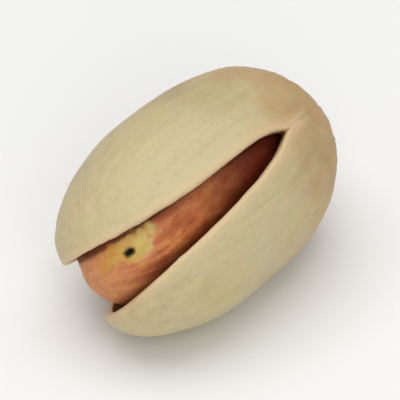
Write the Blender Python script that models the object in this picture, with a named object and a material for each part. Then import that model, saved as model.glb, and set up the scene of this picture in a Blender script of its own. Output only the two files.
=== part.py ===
"""A pistachio in its shell: the hard shell, split from the tip along both sutures, and the kernel in it.

Metres, +Z up. The nut lies on its side on a small flat spot, with its tip towards -X, its stem end
towards +X and its long split turned up and towards -Y. The origin is on the surface it rests on,
under the middle of its box.

The nut has a frame of its own, in which both pieces are made: X runs from the tip to the stem end,
Z to the suture with the long split (the ventral one), and Y across the two valves.
"""

import math

import bmesh
import bpy
from mathutils import Matrix, Vector

MM = 0.001

# The closed nut, before it split
LENGTH = 20.0 * MM
WIDTH = 13.2 * MM  # from suture to suture
THICKNESS = 13.25 * MM  # across the valves
BROADER_STEM = 0.11  # how much the stem end is fuller than the tip
DORSAL_BROADER = 0.06  # and how much more of that shows on the dorsal side
NARROWER_TIP = 0.13
BLUNT_TIP = 0.86  # under 1, the tip is blunter from suture to suture than an ellipsoid's
BLUNT_STEM = 0.87  # and the stem end all round
PINCH = 0.05  # how much the valves draw in towards the sutures

# The shell
WALL = 0.85 * MM
TIP_WALL = 0.62 * MM
KEEL_HEIGHT = 0.09 * MM  # the low ridge along each suture
KEEL_HALF_ANGLE = 0.14
FOLD_HEIGHT = 0.09 * MM  # the folds that run out from the stem end
FOLD_COUNT = 8
SCAR_RADIUS = 1.0 * MM  # where the stalk let go
SCAR_RIM = 0.16 * MM
SCAR_PIT = 0.32 * MM

# The split
TIP_GAP = 4.4 * MM  # between the valves at the tip
VENTRAL_END = 5.2 * MM  # where each split closes, from the middle of the nut
DORSAL_END = -0.6 * MM
LEAST_OPENING = 0.06 * MM  # of a valve, where the crack begins
SOFT_START = 0.35  # the share of a split over which the valves bend apart
CURL = 1.3 * MM  # how far the ventral rims draw back from the suture near the end of the split
DORSAL_CURL = 0.5 * MM
CURL_START = 0.19  # the share of a split that the narrow V at its end takes
CURL_FADE = 1.3  # how it lessens to the tip
CURL_SPREAD = 0.5
SKEW = 0.45 * MM  # how far the ventral split lies off its suture, towards -Y
SKEW_START = 0.3
TIP_BEND = 0.3 * MM  # how far the tip turns the same way

# The kernel
NOSE = 9.5 * MM  # from the middle of the nut to each end of the kernel
ROOT = 8.3 * MM
NOSE_POWER = 2.8  # of the curve that rounds the nose from suture to suture, 2 being an ellipse
NOSE_BREADTH_POWER = 2.4  # and from valve to valve
CREST_POWER = 1.65  # of its cross-section, under 2 for a narrower crest along each suture
CLEARANCE = 0.38 * MM  # to the inside of the wall
OFFSET = 0.5 * MM  # how far it lies towards the valve on the +Y side
FAN = 0.75  # how far it widens with the valves, as a share of their opening
LUMP_HEIGHT = 0.10 * MM

# How it lies
ROLL = math.radians(37.0)
TIP_DOWN = math.radians(4.5)
FLAT_DEPTH = 0.14 * MM  # what the flat spot takes off the lowest flank

SHELL_SEGMENTS, SHELL_RINGS = 48, 38
KERNEL_SEGMENTS, KERNEL_RINGS = 36, 28


def clear_scene():
    for obj in list(bpy.data.objects):
        bpy.data.objects.remove(obj)


def new_collection(name):
    collection = bpy.data.collections.new(name)
    bpy.context.scene.collection.children.link(collection)
    return collection


def new_material(name, colour, roughness):
    """A plain finish in the piece's overall colour, linear RGB."""
    material = bpy.data.materials.new(name)
    material.use_nodes = True
    surface = material.node_tree.nodes["Principled BSDF"]
    surface.inputs["Base Color"].default_value = (*colour, 1.0)
    surface.inputs["Roughness"].default_value = roughness
    surface.inputs["Metallic"].default_value = 0.0
    return material


def new_object(name, mesh, collection, material, parent):
    data = bpy.data.meshes.new(name)
    mesh.to_mesh(data)
    mesh.free()
    data.materials.append(material)
    data.shade_smooth()
    data.set_sharp_from_angle(angle=math.radians(40))
    obj = bpy.data.objects.new(name, data)
    obj.parent = parent
    collection.objects.link(obj)
    return obj


def unit_ball(segments, rings):
    """A unit sphere with its poles on X, so that one meridian runs along each suture."""
    ball = bmesh.new()
    bmesh.ops.create_uvsphere(ball, u_segments=segments, v_segments=rings, radius=1.0)
    bmesh.ops.rotate(ball, verts=ball.verts, matrix=Matrix.Rotation(math.pi / 2, 3, "Y"))
    return ball


def hump(distance, half_width):
    return math.exp(-((distance / half_width) ** 2))


def fullness(along, around):
    """How full the nut is at a place along it, from -1 at the tip to 1 at the stem end."""
    broader = BROADER_STEM - DORSAL_BROADER * math.cos(around)
    return 1 + broader * along - NARROWER_TIP * ((1 - along) / 2) ** 4


def share_of_split(x, lean):
    """How far a place is along the split, from 0 at its end to 1 at the tip of the nut.

    lean is 1 on the ventral side and 0 on the dorsal.
    """
    split_end = DORSAL_END + (VENTRAL_END - DORSAL_END) * lean
    return max(0.0, (split_end - x) / (split_end + LENGTH / 2))


def opening(x, lean):
    """How far a valve stands off the suture plane."""
    share = share_of_split(x, lean)
    if share < SOFT_START:
        ramp = share * share / (2 * SOFT_START)
    else:
        ramp = share - SOFT_START / 2
    return TIP_GAP / 2 * ramp / (1 - SOFT_START / 2)


def curl(x, lean):
    """How far a rim draws back from the suture: in a straight V at first, and less again to the tip."""
    share = share_of_split(x, lean)
    reach = DORSAL_CURL + (CURL - DORSAL_CURL) * lean
    rise = share / CURL_START
    return reach * rise / (1 + rise**4) ** 0.25 * (1 - min(1, share)) ** CURL_FADE


def skew(x, lean):
    """How far both rims of the ventral split lie off the suture, towards -Y."""
    return SKEW * lean * (1 - math.exp(-share_of_split(x, lean) / SKEW_START))


def tip_bend(x):
    return TIP_BEND * ((1 - x / (LENGTH / 2)) / 2) ** 4


def suture_angle(around):
    """The angle from the nearer suture. around is 0 on the ventral suture and pi on the dorsal."""
    return min(abs(around), math.pi - abs(around))


def section(along, around, ring, inset):
    """A point of the closed nut's cross-section, as its distances across and up from the long axis."""
    full = fullness(along, around)
    draw_in = 1 - PINCH * math.cos(around) ** 2
    wide, tall = (ring, ring**BLUNT_TIP) if along < 0 else (ring**BLUNT_STEM, ring**BLUNT_STEM)
    across = wide * (THICKNESS / 2 * full - inset) * draw_in * math.sin(around)
    height = tall * (WIDTH / 2 * full - inset) * math.cos(around)
    return across, height


def shell_point(unit, side, inner):
    """A point of the outside of the shell, or of its inside."""
    along = max(-1.0, min(1.0, unit.x))
    around = math.atan2(unit.y, unit.z)
    ring = math.hypot(unit.y, unit.z)
    inset = WALL + (TIP_WALL - WALL) * ((1 - along) / 2) ** 2 if inner else 0.0
    x = (LENGTH / 2 - inset) * along
    lean = (1 + ring * math.cos(around)) / 2
    spread = hump(suture_angle(around), CURL_SPREAD)
    retreat = side * curl(x, lean) * math.copysign(1, math.cos(around)) - skew(x, lean)
    across, height = section(along, around + spread * retreat / (WIDTH / 2), ring, inset)
    across += side * opening(x, lean) - tip_bend(x)
    relief = 0 if inner else KEEL_HEIGHT * hump(suture_angle(around), KEEL_HALF_ANGLE)
    if along > 0 and not inner:
        from_axis = ring**BLUNT_STEM * WIDTH / 2
        relief += FOLD_HEIGHT * along**6 * math.cos(FOLD_COUNT * around)
        x += SCAR_RIM * hump(from_axis - SCAR_RADIUS, SCAR_RADIUS / 2)
        x -= SCAR_PIT * hump(from_axis, SCAR_RADIUS / 2)
    across += relief * ring * math.sin(around)
    height += relief * ring * math.cos(around)
    return Vector((x, across, height))


def rounding(along, power):
    """How broad a rounded body still is at a place along it, from 1 in the middle to 0 at its end."""
    return (1 - abs(along) ** power) ** (1 / power)


def kernel_point(unit):
    """A point of the kernel, which lies against one valve with its nose between the two."""
    along = max(-1.0, min(1.0, unit.x))
    around = math.atan2(unit.y, unit.z)
    if along < 0:
        x, broad, tall = NOSE * along, rounding(along, NOSE_BREADTH_POWER), rounding(along, NOSE_POWER)
    else:
        x, broad, tall = ROOT * along, rounding(along, 2), rounding(along, 2)
    lumps = LUMP_HEIGHT * (1 + math.sin(5 * around + 2 * along) * math.sin(4 * along + around))
    inset = WALL + CLEARANCE + lumps
    full = fullness(x / (LENGTH / 2), around)
    wide = THICKNESS / 2 * full - inset - OFFSET + FAN * opening(x, 0.5)
    sideways, upward = math.sin(around), math.cos(around)
    drawn_in = (abs(sideways) ** CREST_POWER + abs(upward) ** CREST_POWER) ** (-1 / CREST_POWER)
    across = broad * (wide * sideways * drawn_in + OFFSET) - tip_bend(x)
    height = tall * (WIDTH / 2 * full - inset) * upward * drawn_in
    return Vector((x, across, height))


def is_split(edge):
    """Whether an edge of the unit ball lies on a suture where the valves stand apart."""
    if any(abs(vert.co.y) > 1e-5 for vert in edge.verts):
        return False
    tipward = min((vert.co for vert in edge.verts), key=lambda place: place.x)
    x, lean = LENGTH / 2 * tipward.x, (1 + tipward.z) / 2
    return opening(x, lean) + curl(x, lean) > LEAST_OPENING


def side_of(vert):
    """1 or -1 for the valve that a vertex belongs to, or 0 on a suture that has stayed shut."""
    sideways = sum(face.calc_center_median().y for face in vert.link_faces)
    return 0 if abs(sideways) < 1e-5 else math.copysign(1, sideways)


def make_shell():
    """The outside of the shell, slit along both sutures, its inside, and the rim that joins them."""
    shell = unit_ball(SHELL_SEGMENTS, SHELL_RINGS)
    bmesh.ops.split_edges(shell, edges=[edge for edge in shell.edges if is_split(edge)])
    outside = {vert: (vert.co.copy(), side_of(vert)) for vert in shell.verts}
    copied = bmesh.ops.duplicate(shell, geom=shell.verts[:] + shell.edges[:] + shell.faces[:])
    inside = {copied["vert_map"][vert]: place for vert, place in outside.items()}
    for vert, (unit, side) in outside.items():
        vert.co = shell_point(unit, side, inner=False)
    for vert, (unit, side) in inside.items():
        vert.co = shell_point(unit, side, inner=True)
    inner_faces = [item for item in copied["geom"] if isinstance(item, bmesh.types.BMFace)]
    bmesh.ops.reverse_faces(shell, faces=inner_faces)
    rim = [edge for edge in shell.edges if edge.is_boundary]
    bmesh.ops.bridge_loops(shell, edges=rim)
    bmesh.ops.recalc_face_normals(shell, faces=shell.faces)
    return shell


def make_kernel():
    kernel = unit_ball(KERNEL_SEGMENTS, KERNEL_RINGS)
    for vert in kernel.verts:
        vert.co = kernel_point(vert.co.copy())
    return kernel


def lay_down(pose, obj):
    """Turns the nut on to its side and stands its lowest flank just below the surface, where it is cut."""
    turn = Matrix.Rotation(-TIP_DOWN, 3, "Y") @ Matrix.Rotation(ROLL, 3, "X")
    points = [turn @ vert.co for vert in obj.data.vertices]
    low = Vector(min(point[axis] for point in points) for axis in range(3))
    high = Vector(max(point[axis] for point in points) for axis in range(3))
    middle = (low + high) / 2
    pose.rotation_euler = turn.to_euler()
    pose.location = (-middle.x, -middle.y, -low.z - FLAT_DEPTH)


def flatten_rest_spot(obj, collection):
    """Takes off what lies below the surface, which leaves the flat spot that the nut rests on."""
    mesh = bmesh.new()
    bmesh.ops.create_cube(mesh, size=LENGTH * 2)
    data = bpy.data.meshes.new("surface_cutter")
    mesh.to_mesh(data)
    mesh.free()
    cutter = bpy.data.objects.new("surface_cutter", data)
    cutter.location = (0, 0, -LENGTH)
    cutter.hide_render = True
    cutter.display_type = "WIRE"
    collection.objects.link(cutter)
    cut = obj.modifiers.new("rest_spot", "BOOLEAN")
    cut.operation = "DIFFERENCE"
    cut.object = cutter


def main():
    clear_scene()
    nut = new_collection("pistachio")
    helpers = new_collection("helpers")
    pose = bpy.data.objects.new("nut_pose", None)
    nut.objects.link(pose)
    shell_finish = new_material("shell", (0.60, 0.53, 0.33), 0.55)
    kernel_finish = new_material("kernel", (0.30, 0.10, 0.035), 0.5)
    shell = new_object("shell", make_shell(), nut, shell_finish, pose)
    new_object("kernel", make_kernel(), nut, kernel_finish, pose)
    lay_down(pose, shell)
    flatten_rest_spot(shell, helpers)


main()
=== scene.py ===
"""A pistachio in its shell, lying on its side with its long split turned up.

Both pieces are made in the nut's own frame and then laid down: X runs from the tip to the stem end,
Z to the suture with the long split (the ventral one), and Y across the two valves.
"""

import math

import bmesh
import bpy
from mathutils import Matrix, Vector, noise


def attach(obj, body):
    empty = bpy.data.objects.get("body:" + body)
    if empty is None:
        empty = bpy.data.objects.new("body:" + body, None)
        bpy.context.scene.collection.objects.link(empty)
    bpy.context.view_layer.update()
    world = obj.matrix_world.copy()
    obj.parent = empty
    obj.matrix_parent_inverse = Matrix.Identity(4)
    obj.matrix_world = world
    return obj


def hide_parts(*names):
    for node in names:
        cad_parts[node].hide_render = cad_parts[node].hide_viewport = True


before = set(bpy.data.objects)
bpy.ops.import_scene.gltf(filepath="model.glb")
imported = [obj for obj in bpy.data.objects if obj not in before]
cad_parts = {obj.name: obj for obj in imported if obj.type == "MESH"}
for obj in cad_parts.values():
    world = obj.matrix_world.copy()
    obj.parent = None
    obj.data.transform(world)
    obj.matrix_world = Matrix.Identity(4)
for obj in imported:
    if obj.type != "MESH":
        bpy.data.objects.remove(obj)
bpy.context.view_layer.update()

MM = 0.001

# The closed nut, as in the frame
LENGTH = 20.0 * MM
WIDTH = 13.2 * MM  # from suture to suture
THICKNESS = 13.25 * MM  # across the valves
BROADER_STEM = 0.11  # how much broader it grows to the stem end, as a share
DORSAL_BROADER = 0.06  # more on the dorsal side, and less on the ventral
NARROWER_TIP = 0.13
BLUNT_TIP = 0.86  # the lower these powers, the blunter the ends
BLUNT_STEM = 0.87
PINCH = 0.05  # how far the flanks beside the sutures are drawn in
WALL = 0.85 * MM
TIP_WALL = 0.62 * MM

# The split, as in the frame but for its skew, which is drawn a little nearer to the photograph here
TIP_GAP = 4.4 * MM  # between the valves at the very tip
VENTRAL_END = 5.2 * MM
DORSAL_END = -0.6 * MM
LEAST_OPENING = 0.03 * MM  # below it a suture counts as shut
SOFT_START = 0.35  # the share of the split over which the valves part gently
CURL = 1.3 * MM  # how far each rim draws back
DORSAL_CURL = 0.5 * MM
CURL_START = 0.19  # the share of the split over which it does so
CURL_FADE = 1.3  # the power by which it comes back to the tip
CURL_SPREAD = 0.5  # how far round the nut the wall goes with the rim, in radians
SKEW = 0.7 * MM
SKEW_START = 0.42  # the share of the split over which it grows
TIP_BEND = 0.3 * MM

# The rims along the split
LIP_ROUND = 0.18 * MM  # how they are rounded, outside and inside
LINING_ROUND = 0.16 * MM
ROUND_FROM, ROUND_FULLY = 0.2 * MM, 1.2 * MM  # how far a rim stands off where it is first and fully rounded
RIM_WANDER = 0.05 * MM
RIM_WANDER_LENGTH = 1.4 * MM
WANDER_START = 0.1 * MM  # how far a rim has drawn back where it wanders in full
RIM_BAND = 0.55 * MM  # half the width of the paler band beside a rim
BAND_END, BAND_GONE = 0.3 * MM, 2.2 * MM  # past the split's closed end, where it starts to fade and is gone

# The kernel
NOSE = 9.5 * MM
ROOT = 8.3 * MM
NOSE_POWER = 2.8
NOSE_BREADTH_POWER = 2.4
CREST_POWER = 1.65  # below 2, so that its section comes to soft crests
CLEARANCE = 0.38 * MM  # to the lining, at the least
OFFSET = 0.5 * MM  # of its middle, towards +Y
FAN = 0.75  # how far it spreads with the valves, as a share of their opening
LUMP_HEIGHT = 0.10 * MM
LEAN_REACH = 8 * MM  # the kernel's height between where the dorsal and the ventral opening apply

# The folds of its skin, which run from end to end
FOLD_HEIGHT = 0.11 * MM
FINE_FOLD_HEIGHT = 0.045 * MM
PAPER_HEIGHT = 0.012 * MM
FOLD_MIDDLE = 0.5  # the part of a fold that lies below the smooth form, and so for the creases below
PAPER_GRAIN = 3.5  # noise cells a millimetre
FOLDS_ALONG = 0.16  # noise cells a millimetre
FOLDS_AROUND = 3.4  # noise cells from the axis to the skin
FINE_FOLDS = 2.6  # times as many
FOLD_WARP = 0.8
NOSE_CALM = 2.6  # mm from the long axis, within which the folds no longer run together
NOSE_TAUT = 0.45  # the share of their height that is left at the very nose
TAUT_END, TAUT_START = -9.0, -6.0  # mm along the nut, between which the skin draws taut over the nose
LONG_FOLD_SHARE, FINE_FOLD_SHARE = 0.65, 0.35

# Where the skin has rubbed off the nose, in the nut's own frame, and the dark eye beside it
BARE_PLACE = (-7.6 * MM, 0.22 * MM)
BARE_HALF_LENGTH = 1.75 * MM
BARE_HALF_WIDTH = 0.9 * MM
BARE_EDGE = (0.68, 1.06)  # where the skin starts to thin and is whole again, as shares of those halves
BARE_RAGGEDNESS = ((0.4, 0.9 * MM), (0.28, 0.35 * MM))  # how far its edge strays, and over what lengths
BARE_SMOOTHNESS = 0.7  # the share of the folds' height that is gone there
SKIN_THICKNESS = 0.05 * MM
EYE_PLACE = (-8.0 * MM, 0.05 * MM)
EYE_RADIUS = 0.33 * MM
EYE_EDGE = (0.6, 1.2)  # where its wall starts and ends, as shares of the radius
EYE_RAGGEDNESS = 0.1 * MM
EYE_GRAIN = 0.3 * MM
EYE_DEPTH = 0.3 * MM
SHADE_WIDTH = {1: 0.3 * MM, -1: 1.2 * MM}  # of the painted shade on the skin in from the rim of the +Y and the -Y valve

# How it lies
ROLL = math.radians(37.0)
TIP_DOWN = math.radians(4.5)
MIDDLE = Vector((-0.0133, 0.1068, 6.3433)) * MM  # of the nut's own frame, in the row's frame

# Relief of the outside of the shell
KEEL_HEIGHT = 0.09 * MM
KEEL_HALF_ANGLE = 0.14
KEEL_LOSS = 0.6  # of its height, towards the stem
KEEL_FADE = (4.0 * MM, 8.5 * MM)
SEAM_DEPTH = 0.045 * MM  # the hairline along a suture that has stayed shut
SEAM_HALF_WIDTH = 0.09 * MM
SEAM_OPENING = 0.08 * MM  # the opening at which it is gone
SEAM_ENDS = (0.02, 0.2)  # where it fades out towards an end of the nut, as shares of the full section
DENT_HEIGHT = 0.11 * MM
DENT_SIZE = 5.0 * MM
STRIA_HEIGHT = 0.05 * MM
STRIAE_ALONG, STRIAE_ACROSS = 0.12, 1.4  # noise cells a millimetre
FINE_STRIAE = 2.2  # times as many, half as high
SKIN_HEIGHT = 0.010 * MM
SKIN_GRAIN = 2.2  # noise cells a millimetre
FRACTAL = (0.8, 2.1, 3)  # dimension, lacunarity and octaves of both fine grains

# The wrinkled stem end
CREASE_HEIGHT = 0.15 * MM
CREASE_MIDDLE = 0.55
CREASE_START, CREASE_FULL = 3.5 * MM, 8.6 * MM
CREASE_WANDER = 0.8 * MM
CREASE_WANDER_GRAIN = 0.4  # noise cells a millimetre
CREASE_TURN = 0.45  # radians that the creases wander round the nut
CREASE_CALM = 0.5  # the share of the full section below which they die out towards the scar
CREASES_ALONG = 0.3  # noise cells a millimetre
CREASES_AROUND = 4.6  # noise cells from the axis to the shell
FINE_CREASES = 2.3  # times as many
CROSS_FOLDS_ALONG, CROSS_FOLDS_AROUND = 0.9, 0.45  # noise cells a millimetre
CREASE_SHARE, FINE_CREASE_SHARE, CROSS_FOLD_SHARE = 0.55, 0.25, 0.3
SCAR_RADIUS = 1.0 * MM
SCAR_RIM = 0.16 * MM
SCAR_PIT = 0.32 * MM
SCAR_RAGGEDNESS = 0.25
SCAR_GRAIN = 4

# Noise: what bends the creases and the folds, and where each pattern is taken from
WARP_GRAIN = 0.35  # noise cells a millimetre
NOISE_SEED = 1  # of the folds' warp, which would be another one each run without it
DENT_SEED = Vector((3.1, 0.0, 1.7))
CREASE_WARP_SEED = Vector((7.0, 1.0, 3.0))
FINE_CREASE_SEED = Vector((2.0, 0.0, 6.0))
CROSS_FOLD_SEED = Vector((0.0, 5.0, 2.0))
SCAR_SEED = 9.0
RIM_SEED = 2.0
FINE_FOLD_SEED = Vector((4.0, 1.0, 0.0))

# The photograph's view of it
VIEW_AZIMUTH = math.radians(-46.6)
VIEW_ELEVATION = math.radians(42.0)
VIEW_DISTANCE = 0.30
VIEW_LENS = 430.0
VIEW_TARGET = (0.0, 0.0, 6.2 * MM)

# Light: place, size and watts of each soft box, and the strength of the surround
LIGHTS = {
    "overhead": ((-0.01, 0.06, 0.49), 0.52, 1.76),
    "front": ((-0.26, -0.34, 0.34), 0.40, 1.05),
}
SURROUND = 0.32
FLOOR_HALF_SIZE = 1.5  # in metres

# Mesh
OUTER_SEGMENTS, LINING_SEGMENTS, SHELL_RINGS = 300, 112, 190  # segments in fours, for both sutures
KERNEL_SEGMENTS, KERNEL_RINGS = 260, 200
CROWDING = 0.39  # how far the meridians crowd towards the sutures
ON_SUTURE = 1e-5  # off the suture plane, on a unit ball


def hump(distance, half_width):
    return math.exp(-((distance / half_width) ** 2))


def smooth_step(low, high, value):
    share = min(1.0, max(0.0, (value - low) / (high - low)))
    return share * share * (3 - 2 * share)


def crease(place):
    """A pattern of sharp lines: 1 along a line, falling off to both sides."""
    return 1 - abs(noise.noise(place))


def unit_ball(segments, rings):
    """A unit sphere with its poles on X, so that one meridian runs along each suture."""
    ball = bmesh.new()
    bmesh.ops.create_uvsphere(ball, u_segments=segments, v_segments=rings, radius=1.0)
    bmesh.ops.rotate(ball, verts=ball.verts, matrix=Matrix.Rotation(math.pi / 2, 3, "Y"))
    return ball


def crowd_to_sutures(unit):
    """The same sphere with its meridians drawn together at the sutures, where the rims need them."""
    ring = math.hypot(unit.y, unit.z)
    around = math.atan2(unit.y, unit.z)
    around -= CROWDING * math.sin(2 * around)
    return Vector((unit.x, ring * math.sin(around), ring * math.cos(around)))


def fullness(along, around):
    """How full the nut is at a place along it and around it: 1 for a plain ellipsoid."""
    broader = BROADER_STEM - DORSAL_BROADER * math.cos(around)
    return 1 + broader * along - NARROWER_TIP * ((1 - along) / 2) ** 4


def share_of_split(x, lean):
    """How far along the split a place is, from 0 at its closed end to 1 at the tip.

    Lean goes from 0 on the dorsal side to 1 on the ventral side.
    """
    split_end = DORSAL_END + (VENTRAL_END - DORSAL_END) * lean
    return max(0.0, (split_end - x) / (split_end + LENGTH / 2))


def opening(x, lean):
    """How far a valve stands off the suture plane."""
    share = share_of_split(x, lean)
    if share < SOFT_START:
        ramp = share * share / (2 * SOFT_START)
    else:
        ramp = share - SOFT_START / 2
    return TIP_GAP / 2 * ramp / (1 - SOFT_START / 2)


def curl(x, lean):
    """How far a rim draws back from the suture: in a straight V at first, and less again to the tip."""
    share = share_of_split(x, lean)
    reach = DORSAL_CURL + (CURL - DORSAL_CURL) * lean
    rise = share / CURL_START
    return reach * rise / (1 + rise**4) ** 0.25 * (1 - min(1, share)) ** CURL_FADE


def skew(x, lean):
    """How far both rims of the ventral split lie off the suture, towards -Y."""
    return SKEW * lean * (1 - math.exp(-((share_of_split(x, lean) / SKEW_START) ** 2)))


def tip_bend(x):
    """How far the whole tip bends towards -Y."""
    return TIP_BEND * ((1 - x / (LENGTH / 2)) / 2) ** 4


def suture_angle(around):
    return min(abs(around), math.pi - abs(around))


def from_suture(unit):
    """How far a place on the outside of the shell is from the nearer suture."""
    ring = math.hypot(unit.y, unit.z)
    return suture_angle(math.atan2(unit.y, unit.z)) * ring * WIDTH / 2


def section(along, around, ring, inset):
    """A point of the closed nut's cross-section, as its distances across and up from the long axis."""
    full = fullness(along, around)
    draw_in = 1 - PINCH * math.cos(around) ** 2
    wide, tall = (ring, ring**BLUNT_TIP) if along < 0 else (ring**BLUNT_STEM, ring**BLUNT_STEM)
    across = wide * (THICKNESS / 2 * full - inset) * draw_in * math.sin(around)
    height = tall * (WIDTH / 2 * full - inset) * math.cos(around)
    return across, height


def beside_split(x, height):
    """1 along a split, fading out past its closed end, for a place on the ventral or the dorsal side."""
    split_end = VENTRAL_END if height > 0 else DORSAL_END
    return 1 - smooth_step(split_end + BAND_END, split_end + BAND_GONE, x)


def rim_rounding(unit, radius):
    """How far the wall is worn down at a place near a rim."""
    x = LENGTH / 2 * unit.x
    lean = (1 + unit.z) / 2
    ajar = smooth_step(ROUND_FROM, ROUND_FULLY, opening(x, lean) + curl(x, lean))
    from_rim = abs(unit.y) * THICKNESS / 2
    if from_rim >= radius:
        return 0.0
    return ajar * (radius - math.sqrt(radius**2 - (radius - from_rim) ** 2))


def wrinkles(spot, around):
    """The wrinkles of the stem end: creases that run out from the scar, crossed by folds.

    They rise from 0 to about 1. The spot is in millimetres.
    """
    warp = noise.noise(spot * WARP_GRAIN + CREASE_WARP_SEED)
    turned = around + CREASE_TURN * warp
    sideways, upward = CREASES_AROUND * math.sin(turned), CREASES_AROUND * math.cos(turned)
    outwards = Vector((spot.x * CREASES_ALONG, sideways, upward))
    crossing = Vector((spot.x * CROSS_FOLDS_ALONG + warp,
                       spot.y * CROSS_FOLDS_AROUND, spot.z * CROSS_FOLDS_AROUND))
    creases = CREASE_SHARE * crease(outwards) ** 3
    fine_creases = FINE_CREASE_SHARE * crease(outwards * FINE_CREASES + FINE_CREASE_SEED) ** 2
    return creases + fine_creases + CROSS_FOLD_SHARE * crease(crossing + CROSS_FOLD_SEED) ** 3


def shell_relief(point, unit):
    """How far the outside of the shell stands above its smooth form, in metres."""
    spot = point / MM
    around = math.atan2(unit.y, unit.z)
    ring = math.hypot(unit.y, unit.z)
    relief = DENT_HEIGHT * noise.noise(point / DENT_SIZE + DENT_SEED)
    striae = Vector((spot.x * STRIAE_ALONG, spot.y * STRIAE_ACROSS, spot.z * STRIAE_ACROSS))
    relief += STRIA_HEIGHT * (noise.noise(striae) + 0.5 * noise.noise(striae * FINE_STRIAE))
    relief += SKIN_HEIGHT * noise.fractal(spot * SKIN_GRAIN, *FRACTAL)
    wandered_x = point.x + CREASE_WANDER * noise.noise(spot * CREASE_WANDER_GRAIN)
    wrinkled = smooth_step(CREASE_START, CREASE_FULL, wandered_x) * min(1, ring / CREASE_CALM)
    relief += CREASE_HEIGHT * wrinkled * (wrinkles(spot, around) - CREASE_MIDDLE)
    keel = 1 - KEEL_LOSS * smooth_step(*KEEL_FADE, point.x)
    relief += keel * KEEL_HEIGHT * hump(suture_angle(around), KEEL_HALF_ANGLE) * ring
    shut = 1 - smooth_step(0.0, SEAM_OPENING, opening(point.x, (1 + unit.z) / 2))
    relief -= SEAM_DEPTH * shut * hump(from_suture(unit), SEAM_HALF_WIDTH) * smooth_step(*SEAM_ENDS, ring)
    return relief


def scar_relief(unit):
    """The stem scar, a ragged ring with a pit in its middle, in metres."""
    if unit.x <= 0:
        return 0.0
    around = math.atan2(unit.y, unit.z)
    edge = Vector((SCAR_GRAIN * math.sin(around), SCAR_GRAIN * math.cos(around), SCAR_SEED))
    ragged = 1 + SCAR_RAGGEDNESS * noise.noise(edge)
    from_axis = math.hypot(unit.y, unit.z) ** BLUNT_STEM * WIDTH / 2 / ragged
    raised = SCAR_RIM * hump(from_axis - SCAR_RADIUS, SCAR_RADIUS / 2)
    return raised - SCAR_PIT * hump(from_axis, SCAR_RADIUS / 2)


def shell_point(unit, side, inner):
    """A point of the outside of the shell, or of its inside, before its relief."""
    along = max(-1.0, min(1.0, unit.x))
    around = math.atan2(unit.y, unit.z)
    ring = math.hypot(unit.y, unit.z)
    if inner:
        inset = WALL + (TIP_WALL - WALL) * ((1 - along) / 2) ** 2 - rim_rounding(unit, LINING_ROUND)
    else:
        inset = rim_rounding(unit, LIP_ROUND)
    x = (LENGTH / 2 - inset) * along
    lean = (1 + ring * math.cos(around)) / 2
    spread = hump(suture_angle(around), CURL_SPREAD)
    wander = RIM_WANDER * noise.noise(Vector((x / RIM_WANDER_LENGTH, RIM_SEED + side, lean * 4)))
    drawn_back = curl(x, lean) + wander * min(1, curl(x, lean) / WANDER_START)
    retreat = side * drawn_back * math.copysign(1, math.cos(around)) - skew(x, lean)
    across, height = section(along, around + spread * retreat / (WIDTH / 2), ring, inset)
    return Vector((x, across + side * opening(x, lean) - tip_bend(x), height))


def rounding(along, power):
    """How broad a rounded body still is at a place along it, from 1 in the middle to 0 at its end."""
    return (1 - abs(along) ** power) ** (1 / power)


def kernel_point(unit):
    """A point of the kernel, before its wrinkles."""
    along = max(-1.0, min(1.0, unit.x))
    around = math.atan2(unit.y, unit.z)
    if along < 0:
        x, broad, tall = NOSE * along, rounding(along, NOSE_BREADTH_POWER), rounding(along, NOSE_POWER)
    else:
        x, broad, tall = ROOT * along, rounding(along, 2), rounding(along, 2)
    lumps = LUMP_HEIGHT * (1 + math.sin(5 * around + 2 * along) * math.sin(4 * along + around))
    inset = WALL + CLEARANCE + lumps
    full = fullness(x / (LENGTH / 2), around)
    wide = THICKNESS / 2 * full - inset - OFFSET + FAN * opening(x, 0.5)
    sideways, upward = math.sin(around), math.cos(around)
    drawn_in = (abs(sideways) ** CREST_POWER + abs(upward) ** CREST_POWER) ** (-1 / CREST_POWER)
    across = broad * (wide * sideways * drawn_in + OFFSET) - tip_bend(x)
    height = tall * (WIDTH / 2 * full - inset) * upward * drawn_in
    return Vector((x, across, height))


def is_split(edge):
    """Whether the valves have parted along an edge of the unit ball."""
    if any(abs(vert.co.y) > ON_SUTURE for vert in edge.verts):
        return False
    tipward = min((vert.co for vert in edge.verts), key=lambda place: place.x)
    x, lean = LENGTH / 2 * tipward.x, (1 + tipward.z) / 2
    return opening(x, lean) + curl(x, lean) > LEAST_OPENING


def side_of(vert):
    """1 or -1 for the valve that a vertex belongs to, or 0 on a suture that has stayed shut."""
    sideways = sum(face.calc_center_median().y for face in vert.link_faces)
    return 0 if abs(sideways) < ON_SUTURE else math.copysign(1, sideways)


def half_shell(segments, inner):
    """The outside of the shell or its inside, slit along both sutures."""
    skin = unit_ball(segments, SHELL_RINGS)
    rim_layer = skin.verts.layers.float.new("rim")
    fold_layer = skin.verts.layers.float.new("fold")
    bmesh.ops.split_edges(skin, edges=[edge for edge in skin.edges if is_split(edge)])
    places = [(vert, crowd_to_sutures(vert.co), side_of(vert)) for vert in skin.verts]
    for vert, unit, side in places:
        vert.co = shell_point(unit, side, inner)
        vert[rim_layer] = beside_split(vert.co.x, unit.z) * hump(from_suture(unit), RIM_BAND)
    if inner:
        bmesh.ops.reverse_faces(skin, faces=skin.faces)
        return skin
    skin.normal_update()
    for vert, unit, _ in places:
        relief = shell_relief(vert.co, unit) + scar_relief(unit)
        vert[fold_layer] = relief / MM
        vert.co += relief * vert.normal
    return skin


def joined(first, second):
    """Both meshes in one, the second one's faces marked with the second material."""
    scratch = bpy.data.meshes.new("scratch")
    for face in second.faces:
        face.material_index = 1
    second.to_mesh(scratch)
    second.free()
    first.from_mesh(scratch)
    bpy.data.meshes.remove(scratch)
    return first


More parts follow.
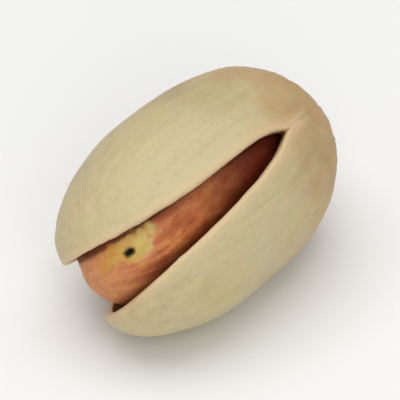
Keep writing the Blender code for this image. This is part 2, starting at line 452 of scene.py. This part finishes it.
def make_shell():
    """The outside and the inside, bridged along the rims of the split."""
    shell = joined(half_shell(OUTER_SEGMENTS, inner=False), half_shell(LINING_SEGMENTS, inner=True))
    rim_edges = [edge for edge in shell.edges if edge.is_boundary]
    bridge = bmesh.ops.bridge_loops(shell, edges=rim_edges)
    for face in bridge["faces"]:
        face.material_index = 0
    bmesh.ops.recalc_face_normals(shell, faces=shell.faces)
    return shell


def bare_share(place):
    """How far the skin has gone at a place on the kernel: 1 where the seed leaf shows, 0 where whole."""
    if place.z < 0:
        return 0.0
    along = (place.x - BARE_PLACE[0]) / BARE_HALF_LENGTH
    across = (place.y - BARE_PLACE[1]) / BARE_HALF_WIDTH
    ragged = sum(reach * noise.noise(place / length) for reach, length in BARE_RAGGEDNESS)
    return 1 - smooth_step(*BARE_EDGE, math.hypot(along, across) + ragged)


def eye_share(place):
    """The small dark pit near the nose, from 0 to 1."""
    if place.z < 0:
        return 0.0
    away = math.hypot(place.x - EYE_PLACE[0], place.y - EYE_PLACE[1])
    ragged = EYE_RAGGEDNESS * noise.noise(place / EYE_GRAIN)
    return 1 - smooth_step(*EYE_EDGE, (away + ragged) / EYE_RADIUS)


def painted_shade_share(place):
    """How far the valves cover a place on the kernel, which sets its painted shade: 0 in the open split,
    rising to 1 below a rim.
    """
    lean = min(1.0, max(0.0, 0.5 + place.z / LEAN_REACH))
    half_gap = opening(place.x, lean) + curl(place.x, lean)
    middle = -skew(place.x, lean) - tip_bend(place.x)
    in_view = 1.0
    for side, width in SHADE_WIDTH.items():
        in_view *= smooth_step(0.0, width, half_gap - side * (place.y - middle))
    return 1 - in_view


def skin_folds(spot):
    """The folds of the skin, broad and fine, each up to 1 along a fold. The spot is in millimetres."""
    warp = noise.noise_vector(spot * WARP_GRAIN)
    reach = FOLDS_AROUND / max(NOSE_CALM, math.hypot(spot.y, spot.z))
    lines = Vector((spot.x * FOLDS_ALONG, spot.y * reach, spot.z * reach)) + warp * FOLD_WARP
    return crease(lines) ** 3, crease(lines * FINE_FOLDS + FINE_FOLD_SEED) ** 3


def make_kernel():
    """The kernel, with its skin's folds, the bare patch and the eye."""
    kernel = unit_ball(KERNEL_SEGMENTS, KERNEL_RINGS)
    layers = kernel.verts.layers.float
    wrinkle_layer, bare_layer, eye_layer = layers.new("wrinkle"), layers.new("bare"), layers.new("eye")
    painted_shade_layer = layers.new("painted_shade")
    for vert in kernel.verts:
        vert.co = kernel_point(vert.co.copy())
    kernel.normal_update()
    for vert in kernel.verts:
        spot = vert.co / MM
        long_folds, fine_folds = skin_folds(spot)
        bare, eye = bare_share(vert.co), eye_share(vert.co)
        taut = NOSE_TAUT + (1 - NOSE_TAUT) * smooth_step(TAUT_END, TAUT_START, spot.x)
        relief = FOLD_HEIGHT * (long_folds - FOLD_MIDDLE) + FINE_FOLD_HEIGHT * (fine_folds - FOLD_MIDDLE)
        relief += PAPER_HEIGHT * noise.fractal(spot * PAPER_GRAIN, *FRACTAL)
        relief *= taut * (1 - BARE_SMOOTHNESS * bare)
        relief -= SKIN_THICKNESS * bare + EYE_DEPTH * eye
        folded = LONG_FOLD_SHARE * long_folds + FINE_FOLD_SHARE * fine_folds
        vert[wrinkle_layer] = LONG_FOLD_SHARE + taut * (folded - LONG_FOLD_SHARE)
        # the share of painted shade, where the valves cover the skin
        vert[painted_shade_layer] = painted_shade_share(vert.co)
        vert[bare_layer] = bare
        vert[eye_layer] = eye
        vert.co += relief * vert.normal
    return kernel


def linear(code):
    """A linear RGBA colour from an sRGB hex code such as c8a06e."""
    channels = [int(code[place:place + 2], 16) / 255 for place in (0, 2, 4)]
    return [c / 12.92 if c <= 0.04045 else ((c + 0.055) / 1.055) ** 2.4 for c in channels] + [1.0]


def add(tree, kind, inputs, **settings):
    """Adds a node with its settings. Each of its inputs is linked to an output or set to a value."""
    node = tree.nodes.new(kind)
    for name, value in settings.items():
        setattr(node, name, value)
    for socket, source in inputs.items():
        if isinstance(source, bpy.types.NodeSocket):
            tree.links.new(source, node.inputs[socket])
        else:
            node.inputs[socket].default_value = source
    return node


def layered(tree, colour, coats):
    """A colour with coats laid over it in turn, each given as its share and its own colour."""
    for share, coat in coats:
        mix = add(tree, "ShaderNodeMix", {0: share, 6: colour, 7: coat}, data_type="RGBA")
        colour = mix.outputs[2]
    return colour


def new_finish(name, constants):
    """A material with its shader's constant values set, and its node tree."""
    material = bpy.data.materials.new(name)
    material.use_nodes = True
    shader = material.node_tree.nodes["Principled BSDF"]
    for socket, value in constants.items():
        shader.inputs[socket].default_value = value
    return material, material.node_tree, shader


def nutshell_outside():
    """Dried pistachio shell, salted and roasted: a pale, hard, satin skin with tan stains and faint veins."""
    material, tree, shader = new_finish("dried nutshell", {"IOR": 1.5})
    mm = add(tree, "ShaderNodeAttribute", {}, attribute_name="place").outputs["Vector"]
    along = add(tree, "ShaderNodeSeparateXYZ", {0: mm}).outputs["X"]
    broad = add(tree, "ShaderNodeTexNoise", {"Vector": mm, "Scale": 0.2, "Detail": 2.0, "Roughness": 0.5})
    tone = add(tree, "ShaderNodeMapRange",
               {"Value": broad.outputs["Fac"], "From Min": 0.38, "From Max": 0.62})
    cloudy = add(tree, "ShaderNodeTexNoise", {"Vector": mm, "Scale": 0.26, "Detail": 4.0, "Roughness": 0.6})
    unripe = add(tree, "ShaderNodeMapRange",
                 {"Value": cloudy.outputs["Fac"], "From Min": 0.48, "From Max": 0.74, "To Max": 0.6})
    drawn_out = add(tree, "ShaderNodeVectorMath", {0: mm, 1: (0.06, 1.0, 1.0)}, operation="MULTIPLY")
    vein = add(tree, "ShaderNodeTexNoise",
               {"Vector": drawn_out.outputs[0], "Scale": 2.2, "Detail": 5.0, "Roughness": 0.6})
    veined = add(tree, "ShaderNodeMapRange",
                 {"Value": vein.outputs["Fac"], "From Min": 0.5, "From Max": 0.8, "To Max": 0.45})
    speck = add(tree, "ShaderNodeTexNoise", {"Vector": mm, "Scale": 2.4, "Detail": 6.0, "Roughness": 0.7})
    specks = add(tree, "ShaderNodeMapRange",
                 {"Value": speck.outputs["Fac"], "From Min": 0.56, "From Max": 0.72, "To Max": 0.4})
    blotch = add(tree, "ShaderNodeTexNoise", {"Vector": mm, "Scale": 0.4, "Detail": 5.0, "Roughness": 0.6})
    ragged = add(tree, "ShaderNodeMath",
                 {0: blotch.outputs["Fac"], 1: 9.0, 2: -4.5}, operation="MULTIPLY_ADD")
    stained_x = add(tree, "ShaderNodeMath", {0: along, 1: ragged.outputs[0]}, operation="ADD")
    stain = add(tree, "ShaderNodeMapRange",
                {"Value": stained_x.outputs[0], "From Min": 0.5, "From Max": 8.5, "To Max": 0.8},
                interpolation_type="SMOOTHSTEP")
    rim = add(tree, "ShaderNodeAttribute", {}, attribute_name="rim")
    beside_rim = add(tree, "ShaderNodeMath", {0: rim.outputs["Fac"], 1: 0.8}, operation="MULTIPLY")
    fold = add(tree, "ShaderNodeAttribute", {}, attribute_name="fold")
    hollow = add(tree, "ShaderNodeMapRange",
                 {"Value": fold.outputs["Fac"], "From Min": -0.28, "From Max": 0.0,
                  "To Min": 0.85, "To Max": 0.0})
    shell_colour = layered(tree, linear("c8bb91"), (
        (tone.outputs[0], linear("cbb88e")),  # warmer patches
        (unripe.outputs[0], linear("c5be80")),  # greenish clouds
        (veined.outputs[0], linear("b9a274")),  # veins from end to end
        (specks.outputs[0], linear("a88a5c")),  # scattered brown specks
        (stain.outputs[0], linear("bd945c")),  # tan towards the stem
        (beside_rim.outputs[0], linear("dabe92")),  # a cream band beside the split
        (hollow.outputs[0], linear("8c6a3e")),  # darker in the wrinkles and the scar, the deeper they lie
    ))
    tree.links.new(shell_colour, shader.inputs["Base Color"])
    polish = add(tree, "ShaderNodeMapRange",
                 {"Value": cloudy.outputs["Fac"], "From Min": 0.3, "From Max": 0.7,
                  "To Min": 0.42, "To Max": 0.58})
    tree.links.new(polish.outputs[0], shader.inputs["Roughness"])
    grain = add(tree, "ShaderNodeTexNoise", {"Vector": mm, "Scale": 5.0, "Detail": 4.0, "Roughness": 0.6})
    pores = add(tree, "ShaderNodeBump",
                {"Height": grain.outputs["Fac"], "Strength": 0.6, "Distance": 0.06 * MM})
    ribs = add(tree, "ShaderNodeBump", {"Height": vein.outputs["Fac"], "Normal": pores.outputs[0],
                                        "Strength": 0.5, "Distance": 0.15 * MM})
    tree.links.new(ribs.outputs[0], shader.inputs["Normal"])
    return material


def nutshell_lining():
    """The inside of the shell: smooth, a little glossy and browner than the outside."""
    material, tree, shader = new_finish("nutshell lining", {"Roughness": 0.42, "IOR": 1.5})
    mm = add(tree, "ShaderNodeAttribute", {}, attribute_name="place").outputs["Vector"]
    mottle = add(tree, "ShaderNodeTexNoise", {"Vector": mm, "Scale": 0.6, "Detail": 4.0})
    share = add(tree, "ShaderNodeMapRange",
                {"Value": mottle.outputs["Fac"], "From Min": 0.35, "From Max": 0.65})
    lining_colour = layered(tree, linear("b98a55"), ((share.outputs[0], linear("d9b786")),))
    tree.links.new(lining_colour, shader.inputs["Base Color"])
    return material


def seed_leaf(tree, mm, along):
    """The colour of the bare seed leaf: yellow green, browned where the roasting caught it at the nose."""
    patch = add(tree, "ShaderNodeTexNoise", {"Vector": mm, "Scale": 1.4, "Detail": 3.0})
    ragged_x = add(tree, "ShaderNodeMath",
                   {0: patch.outputs["Fac"], 1: 4.0, 2: along}, operation="MULTIPLY_ADD")
    green = add(tree, "ShaderNodeMapRange",
                {"Value": ragged_x.outputs[0], "From Min": -7.0, "From Max": -4.6})
    return layered(tree, linear("c88c3c"), ((green.outputs[0], linear("c9b566")),))


def seed_skin():
    """The papery seed skin of a roasted kernel: orange brown, purple red in its folds, a low sheen.

    It deepens towards the stem end, and the yellow-green seed leaf shows where it has rubbed off.
    """
    material, tree, shader = new_finish("roasted seed skin", {"IOR": 1.45, "Specular IOR Level": 0.35})
    mm = add(tree, "ShaderNodeAttribute", {}, attribute_name="place").outputs["Vector"]
    along = add(tree, "ShaderNodeSeparateXYZ", {0: mm}).outputs["X"]
    mottle = add(tree, "ShaderNodeTexNoise", {"Vector": mm, "Scale": 0.8, "Detail": 6.0, "Roughness": 0.65})
    tone = add(tree, "ShaderNodeMapRange",
               {"Value": mottle.outputs["Fac"], "From Min": 0.36, "From Max": 0.66})
    # painted highlight, paler over the nose
    nose = add(tree, "ShaderNodeMapRange",
               {"Value": along, "From Min": -9.6, "From Max": -6.0, "To Min": 0.7, "To Max": 0.0})
    drawn_out = add(tree, "ShaderNodeVectorMath", {0: mm, 1: (0.2, 1.0, 1.0)}, operation="MULTIPLY")
    # painted sheen, in pinkish streaks drawn out along the kernel
    sheen_streaks = add(tree, "ShaderNodeTexNoise",
                {"Vector": drawn_out.outputs[0], "Scale": 1.1, "Detail": 4.0, "Roughness": 0.6})
    painted_sheen = add(tree, "ShaderNodeMapRange",
                  {"Value": sheen_streaks.outputs["Fac"], "From Min": 0.5, "From Max": 0.75, "To Max": 0.5})
    # partly the skin's own deeper colour and partly painted shade towards the split's closed end
    ripe_and_shaded = add(tree, "ShaderNodeMapRange",
               {"Value": along, "From Min": -3.8, "From Max": 2.2, "To Max": 0.92},
               interpolation_type="SMOOTHSTEP")
    fleck = add(tree, "ShaderNodeTexNoise",
                {"Vector": drawn_out.outputs[0], "Scale": 3.5, "Detail": 5.0, "Roughness": 0.7})
    flecks = add(tree, "ShaderNodeMapRange",
                 {"Value": fleck.outputs["Fac"], "From Min": 0.54, "From Max": 0.68, "To Max": 0.4})
    wrinkle = add(tree, "ShaderNodeAttribute", {}, attribute_name="wrinkle")
    fold = add(tree, "ShaderNodeMapRange",
               {"Value": wrinkle.outputs["Fac"], "From Min": 0.2, "From Max": 0.65,
                "To Min": 0.45, "To Max": 0.0})
    # painted shade: darker skin below the valves' rims
    painted_shade = add(tree, "ShaderNodeAttribute", {}, attribute_name="painted_shade")
    shade = add(tree, "ShaderNodeMath", {0: painted_shade.outputs["Fac"], 1: 0.85}, operation="MULTIPLY")
    bare = add(tree, "ShaderNodeAttribute", {}, attribute_name="bare")
    eye = add(tree, "ShaderNodeAttribute", {}, attribute_name="eye")
    skin_colour = layered(tree, linear("b0572c"), (
        (tone.outputs[0], linear("d4874c")),  # mottled
        (nose.outputs[0], linear("d8965f")),  # painted highlight: paler over the nose
        (painted_sheen.outputs[0], linear("d9906a")),  # painted sheen: pinkish streaks
        (ripe_and_shaded.outputs[0], linear("5e1507")),  # wine red towards the stem, partly the skin's own colour and partly painted shade deep in the split's closed end
        (flecks.outputs[0], linear("7a3018")),  # brown flecks, drawn out from end to end
        (fold.outputs[0], linear("7f3020")),  # purple red in the folds
        (shade.outputs[0], linear("521808")),  # painted shade where the valves cover it
        (bare.outputs["Fac"], seed_leaf(tree, mm, along)),  # where the skin has rubbed off
        (eye.outputs["Fac"], linear("0d0805")),  # the dark eye
    ))
    tree.links.new(skin_colour, shader.inputs["Base Color"])
    dull = add(tree, "ShaderNodeMath", {0: eye.outputs["Fac"], 1: 0.45, 2: 0.5}, operation="MULTIPLY_ADD")
    tree.links.new(dull.outputs[0], shader.inputs["Roughness"])
    papery = add(tree, "ShaderNodeTexNoise", {"Vector": mm, "Scale": 4.0, "Detail": 4.0, "Roughness": 0.6})
    crinkle = add(tree, "ShaderNodeBump",
                  {"Height": papery.outputs["Fac"], "Strength": 0.4, "Distance": 0.06 * MM})
    tree.links.new(crinkle.outputs[0], shader.inputs["Normal"])
    return material


def laid_down(name, mesh, materials, pose):
    """Lays a piece down and flattens the rest spot.

    Each point keeps its place in the nut's own frame, in millimetres, for the scales of the materials.
    """
    place = mesh.verts.layers.float_vector.new("place")
    for vert in mesh.verts:
        vert[place] = vert.co / MM
        vert.co = pose @ vert.co
        vert.co.z = max(0.0, vert.co.z)
    data = bpy.data.meshes.new(name)
    mesh.to_mesh(data)
    mesh.free()
    data.shade_smooth()
    for material in materials:
        data.materials.append(material)
    piece = bpy.data.objects.new(name, data)
    bpy.context.scene.collection.objects.link(piece)
    return piece


def resting_pose():
    turn = Matrix.Rotation(-TIP_DOWN, 4, "Y") @ Matrix.Rotation(ROLL, 4, "X")
    return Matrix.Translation(MIDDLE) @ turn


def make_floor():
    """A sheet of matt white paper, larger than the view: it has no gloss and keeps a shadow's edge soft."""
    constants = {"Base Color": linear("f2f2f1"), "Roughness": 0.8}
    material, _, _ = new_finish("matt white paper", constants)
    mesh = bmesh.new()
    bmesh.ops.create_grid(mesh, x_segments=2, y_segments=2, size=FLOOR_HALF_SIZE)
    data = bpy.data.meshes.new("floor")
    mesh.to_mesh(data)
    mesh.free()
    data.materials.append(material)
    floor = bpy.data.objects.new("floor", data)
    bpy.context.scene.collection.objects.link(floor)


def aim(obj, place):
    """Puts a light or the camera at a place, facing the nut."""
    obj.location = place
    obj.rotation_euler = (Vector(place) - Vector(VIEW_TARGET)).to_track_quat("Z", "Y").to_euler()
    bpy.context.scene.collection.objects.link(obj)


def make_lights():
    """A wide soft box overhead, a weaker one beside the camera, and an even white surround."""
    for name, (place, size, watts) in LIGHTS.items():
        lamp = bpy.data.lights.new(name, "AREA")
        lamp.size = size
        lamp.energy = watts
        aim(bpy.data.objects.new(name, lamp), place)
    world = bpy.data.worlds.new("studio")
    bpy.context.scene.world = world
    world.use_nodes = True
    surround = world.node_tree.nodes["Background"]
    surround.inputs["Color"].default_value = (1.0, 1.0, 1.0, 1.0)
    surround.inputs["Strength"].default_value = SURROUND


def make_camera():
    """A long lens, from where the nut looks as it does in the photograph."""
    lens = bpy.data.cameras.new("camera")
    lens.lens = VIEW_LENS
    lens.clip_start = 0.01
    camera = bpy.data.objects.new("camera", lens)
    level = math.cos(VIEW_ELEVATION)
    away = Vector((math.sin(VIEW_AZIMUTH) * level, -math.cos(VIEW_AZIMUTH) * level, math.sin(VIEW_ELEVATION)))
    aim(camera, Vector(VIEW_TARGET) + away * VIEW_DISTANCE)
    bpy.context.scene.camera = camera
    bpy.context.scene.view_settings.view_transform = "Standard"


def main():
    noise.seed_set(NOISE_SEED)
    pose = resting_pose()
    shell = laid_down("pistachio_shell", make_shell(), [nutshell_outside(), nutshell_lining()], pose)
    kernel = laid_down("pistachio_kernel", make_kernel(), [seed_skin()], pose)
    for piece, node in ((shell, "shell"), (kernel, "kernel")):
        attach(piece, "root")
        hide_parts(node)
    make_floor()
    make_lights()
    make_camera()


main()
